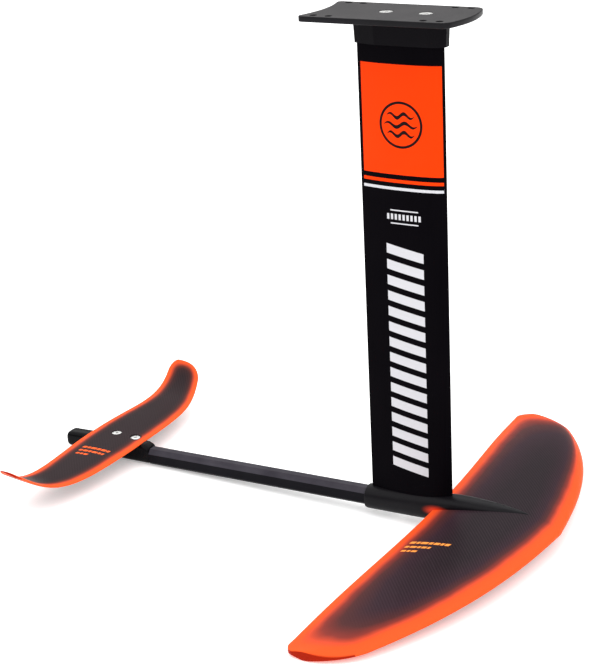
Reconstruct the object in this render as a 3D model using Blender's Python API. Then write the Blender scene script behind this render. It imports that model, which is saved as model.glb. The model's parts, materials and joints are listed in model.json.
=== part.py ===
"""Hydrofoil: mast, fuselage, front wing and rear wing, bolted together.

The pieces are modelled in the assembly's own frame, with the mast upright: +X forward, +Y to
port, +Z up, x = 0 at the middle of the mast's chord and z = 0 on the fuselage's axis. The whole
assembly then hangs from one empty, which tips it back until it stands on the floor on the
front wing's two tips and the tail.
"""
import math

import bmesh
import bpy
from mathutils import Matrix, Vector

MM = 0.001
GAP = 0.3 * MM

# Mast: an aluminium extrusion with a foil section.
MAST_CHORD = 111 * MM
MAST_THICKNESS = 17 * MM
MAST_TAIL_THICKNESS = 1.6 * MM
MAST_FOOT_Z = 9 * MM
MAST_WALL = 1.8 * MM
MAST_FULLEST = 0.35
MAST_TAPER_POWER = 2.4
MAST_CELLS = ((-45 * MM, -29 * MM), (-26 * MM, 5 * MM), (8 * MM, 45 * MM))

# Head: the plate that bolts under the board, and the collar around the mast below it.
PLATE_TOP_Z = 620 * MM
PLATE_THICKNESS = 7 * MM
PLATE_REAR_X = -107 * MM
PLATE_FRONT_X = 81.5 * MM
PLATE_HALF_WIDTH = 54 * MM
PLATE_ARC_DEPTH = 10 * MM
PLATE_CORNER = 9 * MM
PLATE_EDGE_ROUND = 1.2 * MM
BOARD_BOLT_X = (-87.5 * MM, -68 * MM, 50 * MM, 70 * MM)
BOARD_BOLT_Y = 45 * MM
BOARD_BOLT_HOLE = 8.5 * MM
COLLAR_BOTTOM_Z = 583 * MM
COLLAR_REAR_X = -57.5 * MM
COLLAR_FRONT_X = 59.5 * MM
COLLAR_HALF_WIDTH = 12.5 * MM
COLLAR_END_HALF_WIDTH = 6.5 * MM
COLLAR_NOSE_LENGTH = 10 * MM
COLLAR_FLARE = 2 * MM

# Fuselage pod: round in section, with the mast's socket on top and a long nose over the wing.
POD_REAR_X = -62.5 * MM
POD_BOTTOM_Z = -16.9 * MM
POD_ROUNDNESS = 2.2
POD_STATIONS = (
    # x, top, bottom, half width
    (-62.5 * MM, 12.4 * MM, -13 * MM, 12.7 * MM),
    (-58 * MM, 14.6 * MM, -16.9 * MM, 15.8 * MM),
    (-30 * MM, 15.3 * MM, -16.9 * MM, 15.8 * MM),
    (5 * MM, 16.6 * MM, -16.9 * MM, 15.8 * MM),
    (26 * MM, 17.8 * MM, -16 * MM, 15.8 * MM),
    (38 * MM, 18.6 * MM, -12.5 * MM, 15.8 * MM),
    (50 * MM, 19.4 * MM, -6.5 * MM, 15.7 * MM),
    (62 * MM, 20 * MM, -2 * MM, 15.5 * MM),
    (80 * MM, 20 * MM, 0, 14.8 * MM),
    (100 * MM, 19.2 * MM, 1 * MM, 13.2 * MM),
    (118 * MM, 17.9 * MM, 3 * MM, 10.8 * MM),
    (134 * MM, 16.4 * MM, 5 * MM, 7.8 * MM),
    (146 * MM, 14.8 * MM, 7 * MM, 4.8 * MM),
    (156 * MM, 13 * MM, 9 * MM, 1.6 * MM),
)

# Tail boom: a chamfered bar with a tenon at each end.
BOOM_REAR_X = -391.2 * MM
BOOM_HALF_WIDTH = 11 * MM
BOOM_REAR_HALF_HEIGHT = 10.7 * MM
BOOM_FRONT_HALF_HEIGHT = 11.2 * MM
BOOM_TOP_CHAMFER = 6 * MM
BOOM_BOTTOM_CHAMFER = 4 * MM
FRONT_TENON = {"front": 28 * MM, "half_width": 8 * MM, "bottom": -9 * MM, "top": 3 * MM}
REAR_TENON = {"rear": -490 * MM, "half_width": 7 * MM, "bottom": -4.5 * MM, "top": 6 * MM}

# Rear wing mount: a moulded block over the rear tenon, with a pocket for the wing.
MOUNT_FRONT_X = -391.5 * MM
MOUNT_SCREW_HOLE_Z = -8 * MM
POCKET_GAP = 0.5 * MM
MOUNT_HALF_WIDTH = 11.5 * MM
MOUNT_ROUND = 1.6 * MM
MOUNT_PROFILE = (
    (-523 * MM, -4.5 * MM),
    (-470 * MM, -9.5 * MM),
    (-430 * MM, -11 * MM),
    (-391.5 * MM, -11 * MM),
    (-391.5 * MM, 8 * MM),
    (-395 * MM, 13.5 * MM),
    (-403 * MM, 16.4 * MM),
    (-440 * MM, 17.5 * MM),
    (-490 * MM, 17.6 * MM),
    (-522 * MM, 13.8 * MM),
    (-526.5 * MM, 10 * MM),
)

# Wings. Each is a foil section carried along half the span and mirrored.
FRONT_WING = {
    "half_span": 355 * MM,
    "root_thickness": 20.5 * MM,
    "tip_thickness": 9 * MM,
    "camber": 0.04,
    "fullest_camber": 0.35,
    "tail_thickness": 1.2 * MM,
    "nose_round": 36 * MM,
    "tail_round": 14 * MM,
}
REAR_WING = {
    "half_span": 210.5 * MM,
    "root_thickness": 8 * MM,
    "tip_thickness": 4 * MM,
    "camber": 0.012,
    "fullest_camber": 0.4,
    "tail_thickness": 1 * MM,
    "nose_round": 17 * MM,
    "tail_round": 12 * MM,
}
# Outline curves against y: at the middle, straight and curved sweep, and its power; at the tip,
# swell at the middle and its half wave; height at the middle, fall, the y it falls by there, power.
FRONT_LEAD_SWEEP = (199 * MM, 0.1, 1.297, 2.55)
FRONT_TRAIL_SWELL = (5.5 * MM, 29.5 * MM, 400 * MM)
FRONT_LEAD_DROOP = (-6.2 * MM, 14.5 * MM, 350 * MM, 2.5)
FRONT_TRAIL_DROOP = (2.2 * MM, 22.2 * MM, 344 * MM, 1.8)
# The rear wing's curves are against the fraction of its half span.
REAR_LEAD_SWEEP = (-403.4 * MM, 37.3 * MM, 2.13)
REAR_TRAIL_SWEEP = (-484.3 * MM, 2.8 * MM, 8.5 * MM)
REAR_HEIGHT = (16.7 * MM, 18.7 * MM, 48 * MM, 5.57)
REAR_WING_TILT = 5 * MM
THICKNESS_TAPER_POWER = 1.6
FRONT_WING_SPAN_STEPS = (0, 0.06, 0.15, 0.27, 0.4, 0.52, 0.64, 0.75, 0.84, 0.91, 0.955, 0.985, 1)
REAR_WING_SPAN_STEPS = (0, 0.12, 0.3, 0.47, 0.61, 0.72, 0.81, 0.88, 0.935, 0.965, 0.985, 1)
FOIL_STEPS = 11
SKIN_THICKNESS = 1.2 * MM
SKIN_NOSE = 5 * MM
SKIN_TAIL = 9 * MM
CORE_SPAN_STEPS = 11
SLOT_AT_TIP = 0.35 * MM

# Fasteners.
PLATE_SCREW_X = (-16.7 * MM, 33.2 * MM)
PLATE_SCREW = {"head": 16.5 * MM, "shank": 8 * MM, "length": 44 * MM, "key": 5 * MM}
FOOT_SCREW_X = (-16.7 * MM, 17 * MM)
FOOT_SCREW = {"head": 15 * MM, "shank": 8 * MM, "length": 50 * MM, "key": 5 * MM}
WING_SCREW_X = (66 * MM, 86 * MM, 106 * MM)
WING_SCREW = {"head": 12 * MM, "shank": 6 * MM, "key": 4 * MM}
WING_BUSHING_DIAMETER = 16 * MM
REAR_WING_SCREW_X = (-447.5 * MM, -417.5 * MM)
REAR_WING_SCREW = {"head": 13.5 * MM, "shank": 6 * MM, "length": 24 * MM, "key": 4 * MM}
WING_SCREW_COVER = 2 * MM
LOCK_SCREW = {"head": 10 * MM, "shank": 5 * MM, "length": 14 * MM, "key": 3 * MM}
BOOM_LOCK_X = -48 * MM
MOUNT_LOCK_X = -465 * MM
MOUNT_LOCK_SEAT_Z = -8.6 * MM
FOOT_SCREW_SINK = 2.3 * MM
LOCK_SCREW_SINK = 1.3 * MM
REAR_SCREW_SINK = 0.4 * MM
HOLE_CLEARANCE = 0.3 * MM
HEAD_RIM = 0.9 * MM
KEY_DEPTH = 3 * MM
INSERT_HEIGHT = 34 * MM
HEAD_INSERT_TOP_Z = 611 * MM
INSERT_HALF_LENGTH = 10 * MM
ROUND_STEPS = 24
CUT_BEYOND = 5 * MM
CUT_REACH = 40 * MM
SEAT_HALF_WIDTH = 60 * MM
POCKET_HALF_WIDTH = 70 * MM
SEAT_GAP = 0.6 * MM
TENON_OVERLAP = 2 * MM

# Colours are linear RGB.
FINISHES = {
    "plate": ((0.075, 0.075, 0.08), 0.42, 0.9),
    "mast": ((0.008, 0.008, 0.009), 0.38, 0.3),
    "moulding": ((0.006, 0.006, 0.007), 0.3, 0.0),
    "boom": ((0.02, 0.02, 0.022), 0.45, 0.6),
    "steel": ((0.6, 0.6, 0.6), 0.25, 1.0),
    "insert": ((0.4, 0.4, 0.42), 0.4, 1.0),
    "wing": ((0.03, 0.022, 0.022), 0.35, 0.0),
    "foam": ((0.7, 0.68, 0.6), 0.8, 0.0),
}


def clear_scene():
    for item in list(bpy.data.objects):
        bpy.data.objects.remove(item, do_unlink=True)


def finish(name):
    """The named finish as a Principled BSDF material, made once."""
    material = bpy.data.materials.get(name)
    if material is None:
        colour, roughness, metallic = FINISHES[name]
        material = bpy.data.materials.new(name)
        material.use_nodes = True
        shader = material.node_tree.nodes["Principled BSDF"]
        shader.inputs["Base Color"].default_value = (*colour, 1)
        shader.inputs["Roughness"].default_value = roughness
        shader.inputs["Metallic"].default_value = metallic
    return material


def add_object(name, bm, finish_name=None):
    """Turn a bmesh into an object, with its faces pointing out."""
    bmesh.ops.recalc_face_normals(bm, faces=bm.faces)
    mesh = bpy.data.meshes.new(name)
    bm.to_mesh(mesh)
    bm.free()
    mesh.shade_smooth()
    mesh.set_sharp_from_angle(angle=math.radians(32))
    item = bpy.data.objects.new(name, mesh)
    bpy.context.collection.objects.link(item)
    if finish_name is None:
        item.hide_render = True
        item.display_type = "WIRE"
    else:
        mesh.materials.append(finish(finish_name))
    return item


def cut(item, *cutters):
    for cutter in cutters:
        boolean = item.modifiers.new("cut_" + cutter.name, "BOOLEAN")
        boolean.operation = "DIFFERENCE"
        boolean.solver = "EXACT"
        boolean.object = cutter


def loft(name, rings, finish_name=None):
    """A closed solid through rings of points, each ring with the same number of points."""
    bm = bmesh.new()
    loops = [[bm.verts.new(point) for point in ring] for ring in rings]
    count = len(loops[0])
    for near, far in zip(loops, loops[1:]):
        for i in range(count):
            j = (i + 1) % count
            bm.faces.new((near[i], near[j], far[j], far[i]))
    bm.faces.new(loops[0])
    bm.faces.new(loops[-1])
    return add_object(name, bm, finish_name)


def prism(name, outline, low, high, finish_name=None):
    """An upright solid from an outline of (x, y) points."""
    return loft(name, [[Vector((x, y, z)) for x, y in outline] for z in (low, high)], finish_name)


def box(name, low, high, finish_name=None):
    outline = ((low[0], low[1]), (high[0], low[1]), (high[0], high[1]), (low[0], high[1]))
    return prism(name, outline, low[2], high[2], finish_name)


def turned(name, profile, place, finish_name=None):
    """A solid turned about the upright axis through place, from (radius, z) points."""
    rings = []
    for radius, z in profile:
        turn = [2 * math.pi * i / ROUND_STEPS for i in range(ROUND_STEPS)]
        ring = [Vector((radius * math.cos(a), radius * math.sin(a), z)) for a in turn]
        rings.append([point + Vector(place) for point in ring])
    return loft(name, rings, finish_name)


def hole_for(screw):
    """Diameter of a plain hole that clears a screw's shank."""
    return screw["shank"] + 2 * HOLE_CLEARANCE


def hole(name, x, y, diameter, low, high):
    radius = diameter / 2
    return turned(name, ((radius, low), (radius, high)), (x, y, 0))


def countersink(name, x, screw, seat_z, far_z, facing, spare=0.0):
    """A cutter for a countersunk screw: head cone at seat_z, shank hole on to far_z."""
    head = screw["head"] / 2 + HOLE_CLEARANCE + spare
    shank = screw["shank"] / 2 + HOLE_CLEARANCE
    cone = head - shank
    out = seat_z + facing * 20 * MM
    rim = seat_z - facing * HEAD_RIM
    profile = [(head, out), (head, rim), (shank, rim - facing * cone), (shank, far_z)]
    return turned(name, profile, (x, 0, 0))


def countersunk_screw(name, x, screw, seat_z, length, facing):
    """A countersunk screw whose head faces up (facing 1) or down (facing -1)."""
    head = screw["head"] / 2
    shank = screw["shank"] / 2
    top = seat_z - facing * GAP
    profile = [
        (head - 0.4 * MM, top),
        (head, top - facing * 0.5 * MM),
        (shank, top - facing * (head - shank + 0.5 * MM)),
        (shank, top - facing * (length - 1 * MM)),
        (shank - 1 * MM, top - facing * length),
    ]
    item = turned(name, profile, (x, 0, 0), "steel")
    key = screw["key"] / math.sqrt(3)
    corners = [math.pi * i / 3 for i in range(6)]
    outline = [(x + key * math.cos(a), key * math.sin(a)) for a in corners]
    ends = sorted((top + facing * MM, top - facing * KEY_DEPTH))
    cut(item, prism(name + "_key_cutter", outline, *ends))
    return item


def mast_half_thickness(t):
    """Half the mast's thickness at a fraction t of its chord, from the nose."""
    full = MAST_THICKNESS / 2
    if t < MAST_FULLEST:
        return full * math.sqrt(max(0, 1 - ((MAST_FULLEST - t) / MAST_FULLEST) ** 2))
    back = ((t - MAST_FULLEST) / (1 - MAST_FULLEST)) ** MAST_TAPER_POWER
    return full - (full - MAST_TAIL_THICKNESS / 2) * back


def mast_outline(grow=0.0, steps=16):
    """The mast's section as (x, y) points, nose first, grown outwards all round."""
    upper = []
    for i in range(steps + 1):
        t = (1 - math.cos(math.pi * i / steps)) / 2
        x = MAST_CHORD / 2 - t * MAST_CHORD + grow * math.cos(math.pi * i / steps)
        upper.append((x, mast_half_thickness(t) + grow * (1 if i else 0)))
    lower = [(x, -y) for x, y in reversed(upper[1:])]
    return upper + lower


def mast_fraction(x):
    return (MAST_CHORD / 2 - x) / MAST_CHORD


def cell_outline(rear, front, inset):
    """A space inside the mast between two webs, a wall's thickness in from the skin."""
    count = 5
    stations = [front + (rear - front) * i / count for i in range(count + 1)]
    side = [(x, mast_half_thickness(mast_fraction(x)) - inset) for x in stations]
    return side + [(x, -y) for x, y in reversed(side)]


def make_mast():
    top = PLATE_TOP_Z - PLATE_THICKNESS - GAP
    mast = prism("mast", mast_outline(), MAST_FOOT_Z, top, "mast")
    for number, (rear, front) in enumerate(MAST_CELLS, 1):
        outline = cell_outline(rear, front, MAST_WALL)
        cut(mast, prism(f"mast_cell_cutter_{number}", outline, MAST_FOOT_Z - MM, top + MM))
    return mast


def make_insert(name, x, low, high, screw):
    """A tapped block that fills a length of one of the mast's cells."""
    half = INSERT_HALF_LENGTH
    rear, front = next(cell for cell in MAST_CELLS if cell[0] < x < cell[1])
    rear = max(rear + GAP, x - half)
    front = min(front - GAP, x + half)
    item = prism(name, cell_outline(rear, front, MAST_WALL + GAP), low, high, "insert")
    cut(item, hole(name + "_hole_cutter", x, 0, hole_for(screw), low - MM, high + MM))
    return item


def make_inserts():
    low_top = MAST_FOOT_Z + MM + INSERT_HEIGHT
    for place, foot_x, head_x in zip(("rear", "front"), FOOT_SCREW_X, PLATE_SCREW_X):
        make_insert(f"mast_foot_insert_{place}", foot_x, MAST_FOOT_Z + MM, low_top, FOOT_SCREW)
        low = HEAD_INSERT_TOP_Z - INSERT_HEIGHT
        make_insert(f"mast_head_insert_{place}", head_x, low, HEAD_INSERT_TOP_Z, PLATE_SCREW)


def plate_outline():
    """The plate from above: rear edge hollow, front edge full, corners rounded."""
    arc = 9
    points = []
    for i in range(arc + 1):
        along = 1 - 2 * i / arc
        bulge = PLATE_ARC_DEPTH * (1 - along ** 2)
        points.append((PLATE_FRONT_X + bulge, -along * PLATE_HALF_WIDTH))
    for i in range(arc + 1):
        along = 1 - 2 * i / arc
        bulge = PLATE_ARC_DEPTH * (1 - along ** 2)
        points.append((PLATE_REAR_X + bulge, along * PLATE_HALF_WIDTH))
    return points


def make_plate():
    low = PLATE_TOP_Z - PLATE_THICKNESS
    bm = bmesh.new()
    face = bm.faces.new([bm.verts.new((x, y, low)) for x, y in plate_outline()])
    grown = bmesh.ops.extrude_face_region(bm, geom=[face])["geom"]
    raised = [part for part in grown if isinstance(part, bmesh.types.BMVert)]
    bmesh.ops.translate(bm, verts=raised, vec=(0, 0, PLATE_THICKNESS))
    corners = [
        edge for edge in bm.edges
        if abs(edge.verts[0].co.z - edge.verts[1].co.z) > MM
        and abs(abs(edge.verts[0].co.y) - PLATE_HALF_WIDTH) < MM
    ]
    bmesh.ops.bevel(bm, geom=corners, offset=PLATE_CORNER, segments=4, profile=0.5, affect="EDGES")
    plate = add_object("top_plate", bm, "plate")
    rounding = plate.modifiers.new("edge_round", "BEVEL")
    rounding.width = PLATE_EDGE_ROUND
    rounding.segments = 2
    rounding.limit_method = "ANGLE"
    rounding.angle_limit = math.radians(50)
    for i, x in enumerate(BOARD_BOLT_X, 1):
        for side, y in (("port", BOARD_BOLT_Y), ("starboard", -BOARD_BOLT_Y)):
            name = f"board_bolt_cutter_{i}_{side}"
            cut(plate, hole(name, x, y, BOARD_BOLT_HOLE, low - MM, PLATE_TOP_Z + MM))
    for i, x in enumerate(PLATE_SCREW_X, 1):
        cut(plate, countersink(f"plate_screw_cutter_{i}", x, PLATE_SCREW, PLATE_TOP_Z, low - MM, 1))
    return plate


def collar_outline(flare, grow=0.0):
    """The collar from above: flat sides and a blunt nose and tail, as (x, y) points."""
    half = COLLAR_HALF_WIDTH + flare / 2 + grow
    end = COLLAR_END_HALF_WIDTH + grow
    rear = COLLAR_REAR_X - flare - grow
    front = COLLAR_FRONT_X + flare + grow
    corner = 2 * MM
    port = [
        (front, end - corner),
        (front - corner, end),
        (front - COLLAR_NOSE_LENGTH, half - MM),
        (front - 2 * COLLAR_NOSE_LENGTH, half),
        (rear + 3 * COLLAR_NOSE_LENGTH, half),
        (rear + COLLAR_NOSE_LENGTH, end + MM),
        (rear + corner / 2, end - corner),
        (rear, end - 2 * corner),
    ]
    return port + [(x, -y) for x, y in reversed(port)]


def make_collar():
    top = PLATE_TOP_Z - PLATE_THICKNESS - GAP
    levels = ((COLLAR_BOTTOM_Z, 0.0), (top - 4 * MM, COLLAR_FLARE * 0.7), (top, COLLAR_FLARE))
    rings = [[Vector((x, y, z)) for x, y in collar_outline(flare)] for z, flare in levels]
    collar = loft("mast_collar", rings, "moulding")
    cut(collar, prism("collar_bore_cutter", mast_outline(GAP), COLLAR_BOTTOM_Z - MM, top + MM))
    return collar


def make_plate_screws():
    for place, x in zip(("rear", "front"), PLATE_SCREW_X):
        countersunk_screw(f"plate_screw_{place}", x, PLATE_SCREW, PLATE_TOP_Z, PLATE_SCREW["length"], 1)


def foil_half_thickness(t):
    """Half thickness of a unit foil at chord fraction t, for a full thickness of one."""
    return 5 * (0.2969 * math.sqrt(t) - 0.126 * t - 0.3516 * t ** 2 + 0.2843 * t ** 3 - 0.1036 * t ** 4)


def foil_camber(t, amount, fullest):
    if t < fullest:
        return amount / fullest ** 2 * (2 * fullest * t - t ** 2)
    return amount / (1 - fullest) ** 2 * (1 - 2 * fullest + 2 * fullest * t - t ** 2)


def rounded_corner(distance, radius):
    """How far a corner of the given radius draws back, at a distance in from the tip."""
    if distance >= radius:
        return 0.0
    return radius - math.sqrt(radius ** 2 - (radius - distance) ** 2)


def drooped(y, middle, fall, place, power):
    """Height of an edge that starts at middle and has fallen by fall at y = place."""
    return middle - fall * (y / place) ** power


def front_wing_edges(y):
    """Leading and trailing edge of the front wing, as (x, z) pairs, at y out from the middle."""
    wing = FRONT_WING
    out = wing["half_span"] - y
    middle, straight, curved, power = FRONT_LEAD_SWEEP
    lead = middle - straight * y - curved * y ** power - rounded_corner(out, wing["nose_round"])
    tip, swell, half_wave = FRONT_TRAIL_SWELL
    trail = tip + swell * (1 + math.cos(math.pi * y / half_wave)) / 2
    trail += rounded_corner(out, wing["tail_round"])
    return (lead, drooped(y, *FRONT_LEAD_DROOP)), (trail, drooped(y, *FRONT_TRAIL_DROOP))


def rear_wing_edges(y):
    """Leading and trailing edge of the rear wing: it droops a little, then its tips curl up."""
    wing = REAR_WING
    part = y / wing["half_span"]
    out = wing["half_span"] - y
    middle, sweep, power = REAR_LEAD_SWEEP
    lead = middle - sweep * part ** power - rounded_corner(out, wing["nose_round"])
    middle, forward, back = REAR_TRAIL_SWEEP
    trail = middle + forward * part ** 2 - back * part ** 6 + rounded_corner(out, wing["tail_round"])
    middle, droop, curl, power = REAR_HEIGHT
    height = middle - droop * part ** 2 + curl * part ** power
    return (lead, height), (trail, height + REAR_WING_TILT)


def wing_thickness(wing, y):
    part = y / wing["half_span"]
    extra = wing["root_thickness"] - wing["tip_thickness"]
    return wing["tip_thickness"] + extra * (1 - part ** THICKNESS_TAPER_POWER)


def wing_point(wing, edges, y, t, side, inset=0.0):
    """A point on the foil's upper (side 1) or lower (side -1) surface, inset below it."""
    (lead, lead_z), (trail, trail_z) = edges(abs(y))
    chord = lead - trail
    thick = wing_thickness(wing, abs(y))
    half = thick * foil_half_thickness(t) + wing["tail_thickness"] / 2 * t
    camber = chord * foil_camber(t, wing["camber"], wing["fullest_camber"])
    z = lead_z + (trail_z - lead_z) * t + camber + side * (half - inset)
    return Vector((lead - chord * t, y, z))


def seam_point(wing, edges, y, t, side):
    """A point on the line where the two skins meet, on one side of the joint."""
    (lead, lead_z), (trail, trail_z) = edges(abs(y))
    chord = lead - trail
    camber = chord * foil_camber(t, wing["camber"], wing["fullest_camber"])
    z = lead_z + (trail_z - lead_z) * t + camber
    return Vector((lead - chord * t, y, z + side * GAP / 2))


def foil_fractions():
    return [(1 - math.cos(math.pi * i / FOIL_STEPS)) / 2 for i in range(FOIL_STEPS + 1)]


def span_places(wing, steps):
    half = [part * wing["half_span"] for part in steps]
    return [-y for y in reversed(half[1:])] + half


def whole_ring(wing, edges, y, grow=0.0):
    """The foil's outline at y: tail to nose over the top, then back under."""
    nose = Vector((grow, 0, 0))
    upper = [wing_point(wing, edges, y, t, 1, -grow) for t in reversed(foil_fractions())]
    lower = [wing_point(wing, edges, y, t, -1, -grow) for t in foil_fractions()[1:]]
    upper[0] -= nose
    upper[-1] += nose
    lower[-1] -= nose
    return upper + lower


def inner_fractions(wing, edges, y, spare=0.0):
    """Chord fractions of the hollow inside the skins, clear of the bonded nose and tail."""
    (lead, _), (trail, _) = edges(abs(y))
    chord = lead - trail
    first = min((SKIN_NOSE + spare) / chord, 0.3)
    last = 1 - min((SKIN_TAIL + spare) / chord, 0.35)
    return [first + (last - first) * t for t in foil_fractions()]


def inner_inset(wing, y, t, spare):
    """Depth of the hollow's surface below the foil's, growing where the foil gets thin."""
    half = wing_thickness(wing, abs(y)) * foil_half_thickness(t) + wing["tail_thickness"] / 2 * t
    closing = abs(y) >= wing["half_span"] * FRONT_WING_SPAN_STEPS[-2]
    left = SLOT_AT_TIP if closing else 0.6 * MM
    return min(SKIN_THICKNESS, half - left) + spare


def skin_ring(wing, edges, y, side):
    """One skin's C-shaped outline at y: outer surface, bonded nose, inner surface, bonded tail."""
    seam = Vector((0, 0, side * GAP / 2))
    outer = [wing_point(wing, edges, y, t, side) + seam for t in reversed(foil_fractions())]
    inside = inner_fractions(wing, edges, y)
    inner = [wing_point(wing, edges, y, t, side, inner_inset(wing, y, t, 0)) for t in inside]
    if abs(y) == wing["half_span"]:
        inner = [seam_point(wing, edges, y, t, side * 2) for t in inside]
    tail = seam_point(wing, edges, y, 1, side)
    return [tail] + outer + [seam_point(wing, edges, y, inside[0], side)] + inner + [
        seam_point(wing, edges, y, inside[-1], side)
    ]


def core_ring(wing, edges, y):
    inside = inner_fractions(wing, edges, y, GAP)
    upper = [wing_point(wing, edges, y, t, 1, inner_inset(wing, y, t, GAP)) for t in reversed(inside)]
    lower = [wing_point(wing, edges, y, t, -1, inner_inset(wing, y, t, GAP)) for t in inside]
    return upper + lower


def wing_surface_z(wing, edges, x, side):
    """Height of the foil's surface on the centreline at x."""
    (lead, _), (trail, _) = edges(0)
    return wing_point(wing, edges, 0, (lead - x) / (lead - trail), side).z


def make_front_wing():
    wing, edges = FRONT_WING, front_wing_edges
    places = span_places(wing, FRONT_WING_SPAN_STEPS)
    upper = loft("front_wing_upper_skin", [skin_ring(wing, edges, y, 1) for y in places], "wing")
    lower = loft("front_wing_lower_skin", [skin_ring(wing, edges, y, -1) for y in places], "wing")
    inside = span_places(wing, FRONT_WING_SPAN_STEPS[:CORE_SPAN_STEPS])
    core = loft("front_wing_core", [core_ring(wing, edges, y) for y in inside], "foam")
    for number, x in enumerate(WING_SCREW_X, 1):
        size = WING_BUSHING_DIAMETER + 2 * GAP
        bore = hole(f"bushing_cutter_{number}", x, 0, size, -CUT_REACH, CUT_REACH)
        for piece in (upper, lower, core):
            cut(piece, bore)


def make_wing_bushings_and_screws():
    radius = WING_BUSHING_DIAMETER / 2
    for place, x in zip(("rear", "middle", "front"), WING_SCREW_X):
        ends = (x - radius, x + radius)
        low = max(wing_surface_z(FRONT_WING, front_wing_edges, end, -1) for end in ends) + GAP
        high = min(wing_surface_z(FRONT_WING, front_wing_edges, end, 1) for end in ends) - GAP
        name = f"front_wing_bushing_{place}"
        bushing = turned(name, ((radius, low), (radius, high)), (x, 0, 0), "insert")
        cut(bushing, countersink(name + "_cutter", x, WING_SCREW, low, high + MM, -1))
        ridge = pod_section(x)[0]
        length = ridge - low - WING_SCREW_COVER - MM
        countersunk_screw(f"front_wing_screw_{place}", x, WING_SCREW, low, length, -1)


def pod_section(x):
    """Top, bottom and half width of the pod at x."""
    for near, far in zip(POD_STATIONS, POD_STATIONS[1:]):
        if near[0] <= x <= far[0]:
            part = (x - near[0]) / (far[0] - near[0])
            return [a + (b - a) * part for a, b in zip(near[1:], far[1:])]
    raise ValueError("x is outside the pod")


def pod_ring(x, top, bottom, half_width):
    middle = (top + bottom) / 2
    half_height = (top - bottom) / 2
    ring = []
    for i in range(ROUND_STEPS):
        angle = 2 * math.pi * i / ROUND_STEPS
        across = math.copysign(abs(math.cos(angle)) ** (2 / POD_ROUNDNESS), math.cos(angle))
        up = math.copysign(abs(math.sin(angle)) ** (2 / POD_ROUNDNESS), math.sin(angle))
        ring.append(Vector((x, half_width * across, middle + half_height * up)))
    return ring


def tenon_box(name, tenon, rear, front, grow, finish_name=None):
    half = tenon["half_width"] + grow
    low = (rear, -half, tenon["bottom"] - grow)
    high = (front, half, tenon["top"] + grow)
    return box(name, low, high, finish_name)


def make_pod():
    pod = loft("fuselage_pod", [pod_ring(*station) for station in POD_STATIONS], "moulding")
    socket = prism("mast_socket_cutter", mast_outline(GAP), MAST_FOOT_Z - GAP, CUT_REACH)
    front = FRONT_TENON["front"] + GAP
    tenon = tenon_box("boom_socket_cutter", FRONT_TENON, POD_REAR_X - MM, front, GAP)
    places = span_places(FRONT_WING, FRONT_WING_SPAN_STEPS)
    places = [y for y in places if abs(y) < SEAT_HALF_WIDTH]
    rings = [whole_ring(FRONT_WING, front_wing_edges, y, SEAT_GAP) for y in places]
    cut(pod, socket, tenon)
    for i, x in enumerate(FOOT_SCREW_X, 1):
        seat = POD_BOTTOM_Z + FOOT_SCREW_SINK
        cut(pod, countersink(f"foot_screw_cutter_{i}", x, FOOT_SCREW, seat, MAST_FOOT_Z + MM, -1))
    for i, x in enumerate(WING_SCREW_X, 1):
        top = pod_section(x)[0] - WING_SCREW_COVER
        cut(pod, hole(f"wing_screw_cutter_{i}", x, 0, hole_for(WING_SCREW), -CUT_REACH, top))
    seat = POD_BOTTOM_Z + LOCK_SCREW_SINK
    far = FRONT_TENON["bottom"] + MM
    cut(pod, countersink("boom_lock_cutter", BOOM_LOCK_X, LOCK_SCREW, seat, far, -1))
    cut(pod, loft("wing_seat_cutter", rings))
    return pod


def boom_ring(x, half_height):
    wide, top, bottom = BOOM_HALF_WIDTH, BOOM_TOP_CHAMFER, BOOM_BOTTOM_CHAMFER
    port = [
        (wide - top, half_height),
        (wide, half_height - top),
        (wide, bottom - half_height),
        (wide - bottom, -half_height),
    ]
    return [Vector((x, y, z)) for y, z in port + [(-y, z) for y, z in reversed(port)]]


def make_boom():
    front = POD_REAR_X - GAP
    rings = [boom_ring(BOOM_REAR_X, BOOM_REAR_HALF_HEIGHT), boom_ring(front, BOOM_FRONT_HALF_HEIGHT)]
    boom = loft("tail_boom", rings, "boom")
    for name, tenon, rear, nose in (
        ("front_tenon", FRONT_TENON, front - TENON_OVERLAP, FRONT_TENON["front"]),
        ("rear_tenon", REAR_TENON, REAR_TENON["rear"], BOOM_REAR_X + TENON_OVERLAP),
    ):
        join = boom.modifiers.new(name, "BOOLEAN")
        join.operation = "UNION"
        join.solver = "EXACT"
        join.object = tenon_box(name, tenon, rear, nose, 0.0)
    for kind, screw, places in (
        ("foot", FOOT_SCREW, FOOT_SCREW_X),
        ("wing", REAR_WING_SCREW, REAR_WING_SCREW_X),
        ("lock", LOCK_SCREW, (BOOM_LOCK_X, MOUNT_LOCK_X)),
    ):
        for i, x in enumerate(places, 1):
            name = f"{kind}_hole_cutter_{i}"
            cut(boom, hole(name, x, 0, hole_for(screw), -CUT_REACH, CUT_REACH))
    return boom


def rear_wing_rings(grow=0.0, inner=False):
    places = span_places(REAR_WING, REAR_WING_SPAN_STEPS)
    if inner:
        places = [y for y in places if abs(y) < POCKET_HALF_WIDTH]
    return [whole_ring(REAR_WING, rear_wing_edges, y, grow) for y in places]


def make_rear_wing():
    wing = loft("rear_wing", rear_wing_rings(), "wing")
    for place, x in zip(("rear", "front"), REAR_WING_SCREW_X):
        seat = wing_surface_z(REAR_WING, rear_wing_edges, x, 1) - REAR_SCREW_SINK
        cut(wing, countersink(f"rear_wing_cutter_{place}", x, REAR_WING_SCREW, seat, 0, 1))
        length = REAR_WING_SCREW["length"]
        countersunk_screw(f"rear_wing_screw_{place}", x, REAR_WING_SCREW, seat, length, 1)
    return wing


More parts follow.
